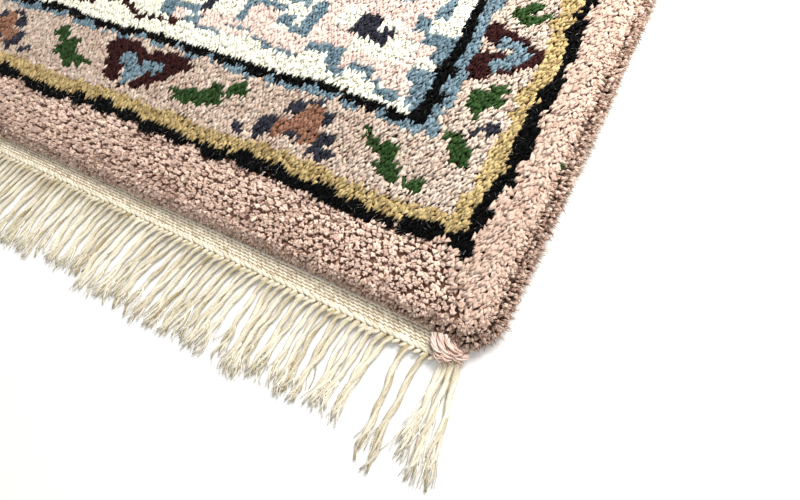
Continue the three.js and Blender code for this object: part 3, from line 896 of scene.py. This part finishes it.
def fringe(end, material):
    """Warps of one end of the rug: twisted cotton strands that lie on the floor and fray at their tips."""
    back = end == "back"
    root, lean, length = [], [], []
    first = 0
    for strands, bare, clump_lean, gather, clump_length in CLUMPS[::-1] if back else CLUMPS:
        for i in range(strands):
            root.append(((STRAND_PLACES - 1) / 2 - first - i) * STRAND_PITCH)
            lean.append((i - (strands - 1) / 2) * STRAND_PITCH * gather - clump_lean)
            length.append(clump_length)
        first += strands + bare
    for corner in (1, -1):
        for warp_root, warp_lean, warp_length in CORNER_WARPS:
            root.append(corner * warp_root)
            lean.append(corner * warp_lean)
            length.append(warp_length)
    root, lean, length = np.array(root), np.array(lean), np.array(length, dtype=float)
    count = len(root)
    at_corner = np.abs(root) > CHAIN_HALF
    length = length * rng.uniform(*LENGTH_RANGE, count)
    lean = lean + rng.normal(0, LEAN_STRAY, count)
    t = np.linspace(0, 1, STRAND_STEPS)[None]
    wave = rng.uniform(0, 2 * math.pi, (count, 1))
    lead_in = np.where(at_corner, 0, LEAD_IN)[:, None]
    x = root[:, None] + lean[:, None] * np.interp(t, *LEAN_ALONG) + lead_in * np.exp(-t / LEAD_IN_SHARE)
    sway = np.sin(t * rng.uniform(*SWAY_TURN, (count, 1)) + wave) - np.sin(wave)
    ripple = np.sin(t * rng.uniform(*RIPPLE_TURN, (count, 1)) + 2 * wave)
    x = x + SWAY * sway * t ** SWAY_GROWTH + RIPPLE * ripple * t ** RIPPLE_GROWTH
    depth = np.where(at_corner, CORNER_ROOT_DEPTH, ROOT_DEPTH)
    y = -(FRINGE_EDGE - depth)[:, None] - (length + depth)[:, None] * t
    rest = PLY_RADIUS + TWIST_RISE
    z = rest + (CHAIN_LIFT - rest) * np.exp(-((t / CHAIN_LIFT_SHARE) ** 2))
    fray_from = np.where(at_corner, CORNER_FRAY_FROM, FRAY_FROM)[:, None]
    fray = np.clip((t - fray_from) / (1 - fray_from), 0, 1) ** FRAY_GROWTH
    paths, radii, tones = [], [], []
    start = rng.uniform(0, 2 * math.pi, (count, 1))
    for ply in range(PLIES):
        angle = start + 2 * math.pi * (ply / PLIES + (length + ROOT_DEPTH)[:, None] * t / TWIST_PITCH)
        cut = rng.uniform(*PLY_CUT, (count, 1))
        loose = fray * rng.uniform(*FRAY_RANGE, (count, 1)) * FRAY_SPREAD
        sideways = (TWIST_RADIUS + loose) * np.cos(angle) + loose * rng.normal(0, FRAY_STRAY, (count, 1))
        ply_y = y[:, :1] + (y - y[:, :1]) * cut
        low = PLY_RADIUS * (1 - FRAY_LOW * fray)
        ply_z = np.maximum(z + TWIST_RISE * np.sin(angle) - FRAY_SINK * fray, low)
        paths.append(to_end(np.stack([x + sideways, ply_y, ply_z], axis=-1), back))
        radii.append(PLY_RADIUS * (1 - FRAY_THIN * fray) * rng.uniform(*PLY_GIRTHS, (count, 1)))
        # painted light and shade: each ply is drawn paler where its twist lifts it and darker where it dips
        # into the hollows
        tone = WARP_TONE + rng.normal(0, WARP_TONE_STRAY, (count, 1)) + PLY_TONE * np.sin(angle)
        shaded = ROOT_SHADE * np.exp(-t / LEAD_IN_SHARE) + FRAY_SHADE * fray * rng.random((count, 1))
        tones.append(tone - shaded)
    paths, radii, tones = np.concatenate(paths), np.concatenate(radii), np.concatenate(tones)
    cords = tubes(f"fringe_{end}", paths, radii, PLY_SIDES, material, tones)
    return cords, frayed_ends(end, x, y, at_corner, material)


def frayed_ends(end, x, y, at_corner, material):
    """Fine yarns that have come loose at the tips of the strands, whose lines are given."""
    yarns = np.where(at_corner, CORNER_FRAY_YARNS, FRAY_YARNS)
    line = np.repeat(np.stack([x, y], axis=-1), yarns, axis=0)
    early = np.repeat(at_corner, yarns)[:, None] * (FRAY_FROM - CORNER_FRAY_FROM)
    count = len(line)
    share = np.linspace(0, 1, FRAY_STEPS)[None]
    first = rng.uniform(*FRAY_START, (count, 1)) - early
    place = first + share * (rng.uniform(*FRAY_LENGTH, (count, 1)) + early)
    station = np.clip(place, 0, 1) * (STRAND_STEPS - 1)
    low = np.minimum(station.astype(int), STRAND_STEPS - 2)
    row = np.arange(count)[:, None]
    spot = line[row, low] + (line[row, low + 1] - line[row, low]) * (station - low)[..., None]
    aside = rng.normal(0, FRAY_ASIDE, (count, 1)) * share
    aside = aside + FRAY_CURL * np.sin(share * rng.uniform(*FRAY_CURL_TURN, (count, 1)))
    z = FRAY_HEIGHT + rng.uniform(*FRAY_HEIGHTS, (count, 1)) * (1 - FRAY_FALL * share)
    path = np.stack([spot[..., 0] + aside, spot[..., 1], z], axis=-1)
    radii = FRAY_YARN_RADIUS * rng.uniform(*FRAY_GIRTHS, (count, 1)) * (1 - FRAY_THIN * share)
    tone = rng.normal(FRAY_TONE, FRAY_TONE_STRAY, (count, 1)) - FRAY_SHADE * share
    return tubes(f"fringe_fray_{end}", to_end(path, end == "back"), radii, FRAY_SIDES, material, tone)


GRAIN_TONE = 0.25  # painted light: how much paler a grain is drawn on top, where the light falls


def grains(name, centres, length, size, facets, angle, material, tone):
    """Many plump grains lying flat: a stitch or a weft float each, turned by its angle in degrees."""
    points, faces = ball(*facets)
    width, height = size
    a = np.radians(angle)[:, None]
    along, across = points[None, :, 2] / 2 * length[:, None], points[None, :, 0] * width / 2
    x = centres[:, :1] + along * np.cos(a) - across * np.sin(a)
    y = centres[:, 1:2] + along * np.sin(a) + across * np.cos(a)
    z = centres[:, 2:] + points[None, :, 1] * height / 2
    # painted light: paler on the top of each grain
    tones = tone[:, None] + GRAIN_TONE * points[None, :, 1]
    return joined(name, np.stack([x, y, z], axis=-1), faces, material, tone=tones)


WEFT_ROWS, WEFT_FLOAT, WEFT_STEP = 6, 3.4, 0.38  # rows, spacing of the floats, share stepped from row to row
WEFT_LENGTHS, WEFT_SHARE, WEFT_HEIGHT, WEFT_SUNK = (4.9, 5.7), 0.8, 1.6, 0.6
WEFT_SLANT, WEFT_SLANT_STRAY = -14, 2
WEFT_STRAY, WEFT_ROW_STRAY = 0.06, 0.08  # share of a float's spacing, millimetres
WEFT_START, WEFT_TUCK, WEFT_OVER = 1.5, 1.0, 1.5  # from the side, under the pile, past the kelim's width
WEFT_FACETS = (4, 3)
WEFT_TONE, WEFT_TONE_STRAY = 0.06, 0.18
SHADOW_LIFT_TONE, SHADOW_LIFT_ROWS = 0.55, 0.8  # painted light: the rows next to the pile are drawn paler, against the shadow that the pile's edge throws on them


def kelim(end, material):
    """Flat-woven band: rows of slanting weft floats along the end, each row stepped from the last."""
    row_pitch = (KELIM_WIDTH + WEFT_OVER) / WEFT_ROWS
    per_row = int(2 * KELIM_HALF / WEFT_FLOAT)
    row, place = [grid.ravel() for grid in np.indices((WEFT_ROWS, per_row))]
    count = len(row)
    place = place + row * WEFT_STEP % 1 + rng.normal(0, WEFT_STRAY, count)
    x = place * WEFT_FLOAT - KELIM_HALF + WEFT_START
    y = -(KELIM_EDGE - WEFT_TUCK + (row + 0.5) * row_pitch) + rng.normal(0, WEFT_ROW_STRAY, count)
    centres = to_end(np.column_stack([x, y, np.full(count, KELIM_TOP - WEFT_SUNK)]), end == "back")
    length = rng.uniform(*WEFT_LENGTHS, count)
    slant = rng.normal(WEFT_SLANT, WEFT_SLANT_STRAY, count)
    # painted light that lifts the pile's shadow from the rows next to it
    tone = WEFT_TONE + SHADOW_LIFT_TONE * np.exp(-row / SHADOW_LIFT_ROWS) + rng.normal(0, WEFT_TONE_STRAY, count)
    size = (row_pitch * WEFT_SHARE, WEFT_HEIGHT)
    return grains(f"kelim_{end}", centres, length, size, WEFT_FACETS, slant, material, tone)


BAND_LAP, BAND_SUNK = 1.0, 0.7  # how far the kelim's weave runs under the chain, and lies under the floats
CORE_WIDTH, CORE_SUNK = 4.5, 2.2  # the chain's core, and how far it lies under the stitches
# The solid weave under the floats and under the chain: half its width, near and far edge, top
BAND_SLABS = [
    (KELIM_HALF, KELIM_EDGE, CHAIN_EDGE + BAND_LAP, KELIM_TOP - BAND_SUNK),
    (CHAIN_HALF, CHAIN_EDGE, CHAIN_EDGE + CORE_WIDTH, CHAIN_TOP - CORE_SUNK),
]
BAND_ROUND = 0.5


def band(end, material):
    """Solid weave under the floats and the chain, in a darker cotton: painted shade for the gaps between the
    floats.
    """
    bm = bmesh.new()
    for half, near, far, top in BAND_SLABS:
        slab = bmesh.ops.create_cube(bm, size=1.0)["verts"]
        bmesh.ops.scale(bm, vec=(2 * half * MM, (far - near) * MM, top * MM), verts=slab)
        bmesh.ops.translate(bm, vec=(0, -(near + far) / 2 * MM, top / 2 * MM), verts=slab)
    if end == "back":
        bmesh.ops.rotate(bm, verts=bm.verts, matrix=Matrix.Rotation(math.pi, 3, "Z"))
    bmesh.ops.bevel(
        bm, geom=bm.edges[:], offset=BAND_ROUND * MM, affect="EDGES", segments=2, profile=0.5, material=-1,
    )
    return finished(f"band_{end}", bm, material)


CHAIN_PITCH = 4.4
# Rows of the chain's stitches: step aside, place from the chain's edge, depth, length, slant and its spread
CHAIN_ROWS = [(0.0, 1.5, 1.3, 8.6, -15, 2), (2.0, 4.2, 1.7, 6.2, 44, 5)]
STITCH_SIZE, STITCH_FACETS, STITCH_STRAY = (2.9, 2.5), (6, 4), 0.15
STITCH_TONE, STITCH_TONE_STRAY = -0.2, 0.08


def chain(end, material):
    """Chain stitch that locks the weave: a cord of long stitches with a row of slanted ones under it."""
    count = int(2 * CHAIN_HALF / CHAIN_PITCH)
    row, place = [grid.ravel() for grid in np.indices((len(CHAIN_ROWS), count))]
    aside, edge, sunk, length, slant, slant_stray = np.array(CHAIN_ROWS)[row].T
    x = (place - (count - 1) / 2) * CHAIN_PITCH + aside
    centres = np.column_stack([x, -(CHAIN_EDGE + edge), CHAIN_TOP - sunk])
    centres = centres + rng.normal(0, STITCH_STRAY, centres.shape)
    centres[:, 2] = np.minimum(centres[:, 2], CHAIN_TOP - STITCH_SIZE[1] / 2)
    slant = rng.normal(slant, slant_stray)
    tone = STITCH_TONE + rng.normal(0, STITCH_TONE_STRAY, len(centres))
    centres = to_end(centres, end == "back")
    return grains(f"chain_{end}", centres, length, STITCH_SIZE, STITCH_FACETS, slant, material, tone)


# Yarns of a corner tuft: where each leaves the pile, where it turns and where it ends
TAIL_PATHS = [
    ((303.4, -520.0, 5.6), (306.5, -529.0, 8.0), (316.5, -531.8, 3.4)),
    ((307.0, -519.0, 6.4), (311.0, -528.5, 8.4), (320.0, -530.5, 3.8)),
    ((310.6, -518.4, 6.6), (315.5, -527.5, 7.6), (325.5, -527.5, 3.4)),
    ((313.4, -517.6, 5.8), (318.5, -525.5, 6.4), (326.5, -525.0, 2.6)),
]
TAIL_FIBRES, TAIL_STEPS, TAIL_SIDES = 14, 10, 4  # fine fibres in each yarn
TAIL_LENGTHS = (0.75, 1.05)
TAIL_TURN = (3.5, 6.5)  # radians of twist
TAIL_RADIUS, TAIL_SHARES, TAIL_RISE = 1.35, (0.3, 1.15), 0.8  # of a yarn, its fibres' places in it, flattened
FLUFF_FROM, FLUFF_GROWTH, FLUFF_SPREAD, FLUFF_SHADE = 0.55, 1.3, 2.6, 0.2  # the fibres part towards the tip
TAIL_FIBRE, TAIL_FIBRE_THIN, TAIL_GIRTHS, TAIL_LOW = 0.55, 0.33, (0.7, 1.2), 0.6
TAIL_TONE, TAIL_TONE_STRAY, TAIL_TWIST_TONE = -0.5, 0.25, 0.2


def tail(end, corner, material):
    """Tuft of overcasting yarn at a corner: soft twisted wool out of the pile that lies over the warps."""
    mirror = 1 if corner == "a" else -1
    t = np.linspace(0, 1, TAIL_STEPS)[None, :, None]
    leave, turn, stop = np.repeat(np.array(TAIL_PATHS), TAIL_FIBRES, axis=0).transpose(1, 0, 2)[:, :, None]
    count = len(leave)
    stop = turn + (stop - turn) * rng.uniform(*TAIL_LENGTHS, (count, 1, 1))
    path = leave * (1 - t) ** 2 + turn * 2 * t * (1 - t) + stop * t ** 2
    t = t[..., 0]
    fluff = np.clip((t - FLUFF_FROM) / (1 - FLUFF_FROM), 0, 1) ** FLUFF_GROWTH
    twist = rng.uniform(0, 2 * math.pi, (count, 1)) + t * rng.uniform(*TAIL_TURN, (count, 1))
    spread = rng.uniform(*TAIL_SHARES, (count, 1)) * (TAIL_RADIUS + FLUFF_SPREAD * fluff)
    ahead = unit(np.gradient(path, axis=1))
    aside = unit(np.cross(ahead, [0, 0, 1.0]))
    path = path + aside * (spread * np.cos(twist))[..., None]
    path[..., 2] = np.maximum(path[..., 2] + TAIL_RISE * spread * np.sin(twist), TAIL_LOW)
    path = to_end(path * np.array([mirror, 1, 1]), end == "back")
    radii = (TAIL_FIBRE - TAIL_FIBRE_THIN * fluff) * rng.uniform(*TAIL_GIRTHS, (count, 1))
    # painted light: a fibre is paler where its twist lifts it over the others
    tone = rng.normal(TAIL_TONE, TAIL_TONE_STRAY, (count, 1)) + TAIL_TWIST_TONE * np.sin(twist)
    return tubes(f"tail_{end}_{corner}", path, radii, TAIL_SIDES, material, tone - FLUFF_SHADE * fluff)


# Floor, light and camera
EYE = Vector((78.55, -117.86, 303.13))  # from the outer guard stripe's corner
GUARD_SIDE, GUARD_END = 8.5 * KNOT, 12.5 * KNOT  # that corner, from the rug's side and from its end
EYE_AZIMUTH, EYE_ELEVATION, EYE_ROLL = 48.5, 62.5, -22.9
FOCAL_PIXELS, PICTURE_WIDTH, SENSOR = 568, 800, 36
FLOOR_HALF, FLOOR_DROP, FLOOR_GLOW = 6000.0, 0.1, 0.18
SKY_STRENGTH = 0.7
LAMP_PLACE, LAMP_AIM = Vector((440, 50, 580)) * MM, Vector((220, -400, 0)) * MM
LAMP_SIZE, LAMP_WATTS, LAMP_TINT = 500.0, 10.4, (1.0, 0.98, 0.95)


def camera():
    """The eye over the corner, at the photograph's angle."""
    guard = Vector((HALF_WIDTH - GUARD_SIDE, -HALF_LENGTH + GUARD_END, 0))
    data = bpy.data.cameras.new("camera")
    data.sensor_width = SENSOR
    data.lens = FOCAL_PIXELS / PICTURE_WIDTH * SENSOR
    data.clip_start = 0.01
    eye = bpy.data.objects.new("camera", data)
    a, e = math.radians(EYE_AZIMUTH), math.radians(EYE_ELEVATION)
    ahead = Vector((-math.sin(a) * math.cos(e), math.cos(a) * math.cos(e), -math.sin(e)))
    turn = ahead.to_track_quat("-Z", "Y").to_matrix() @ Matrix.Rotation(math.radians(EYE_ROLL), 3, "Z")
    eye.matrix_world = Matrix.Translation((guard + EYE) * MM) @ turn.to_4x4()
    bpy.context.scene.collection.objects.link(eye)
    bpy.context.scene.camera = eye


def studio_paper():
    """Matt white paper, lit through a little from below so that it stays white away from the lamp."""
    material, tree = new_material("White studio paper")
    surface = node(
        tree, "ShaderNodeBsdfPrincipled",
        {
            "Base Color": linear("#D4D3D1"), "Roughness": 0.9, "Emission Color": linear("#FFFFFF"),
            "Emission Strength": FLOOR_GLOW,
        },
    )
    node(tree, "ShaderNodeOutputMaterial", None, {"Surface": surface.outputs[0]})
    return material


def studio():
    """A wide white floor, an even white sky and one soft lamp that hangs near, over the +X side."""
    bm = bmesh.new()
    bmesh.ops.create_grid(bm, x_segments=1, y_segments=1, size=FLOOR_HALF * MM)
    bmesh.ops.translate(bm, verts=bm.verts, vec=(0, 0, -FLOOR_DROP * MM))
    finished("floor", bm, studio_paper())

    world = bpy.data.worlds.new("studio")
    world.use_nodes = True
    sky = world.node_tree.nodes["Background"]
    sky.inputs["Color"].default_value = linear("#FFFFFF")
    sky.inputs["Strength"].default_value = SKY_STRENGTH
    bpy.context.scene.world = world
    lamp = bpy.data.lights.new("soft lamp", "AREA")
    lamp.shape = "DISK"
    lamp.size = LAMP_SIZE * MM
    lamp.energy = LAMP_WATTS
    lamp.color = LAMP_TINT
    hung = bpy.data.objects.new("soft lamp", lamp)
    hung.location = LAMP_PLACE
    hung.rotation_euler = (LAMP_AIM - LAMP_PLACE).to_track_quat("-Z", "Y").to_euler()
    bpy.context.scene.collection.objects.link(hung)
    bpy.context.scene.view_settings.view_transform = "Standard"


camera()
studio()
chart = knot_chart()
laid = yarn_ends(chart, END_PITCH)
rim = rim_yarns()
upright = yarn_ends(chart, PEBBLE_PITCH, PEBBLE_DRIFT)
wool_pieces = [*pile(laid, upright, rim), guard_hairs(laid), rim_hairs(rim)]
back_cloth = foundation()
warp = cotton("Undyed cotton warp", "#A2926E", "#FFFBEC")
weft = cotton("Flat-woven cotton weft", "#A89270", "#FFF8E6")
# painted shade: the weave under the floats and the chain is a darker cotton, for the shadowed gaps between
# them
weave = cotton("Cotton deep in the weave, painted shade", "#948266", "#B8A688")
overcast = wool("Overcasting wool, pink", "#B89684", "#F4DACE")
for piece in [*wool_pieces, back_cloth]:
    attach(piece, "root")
    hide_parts("rug_pile")
for end in ("front", "back"):
    for piece in (*fringe(end, warp), kelim(end, weft), band(end, weave), chain(end, warp)):
        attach(piece, "root")
        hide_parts(f"kelim_fringe_{end}")
    for corner in ("a", "b"):
        piece = tail(end, corner, overcast)
        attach(piece, "root")
        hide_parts(f"selvedge_tuft_{end}_{corner}")
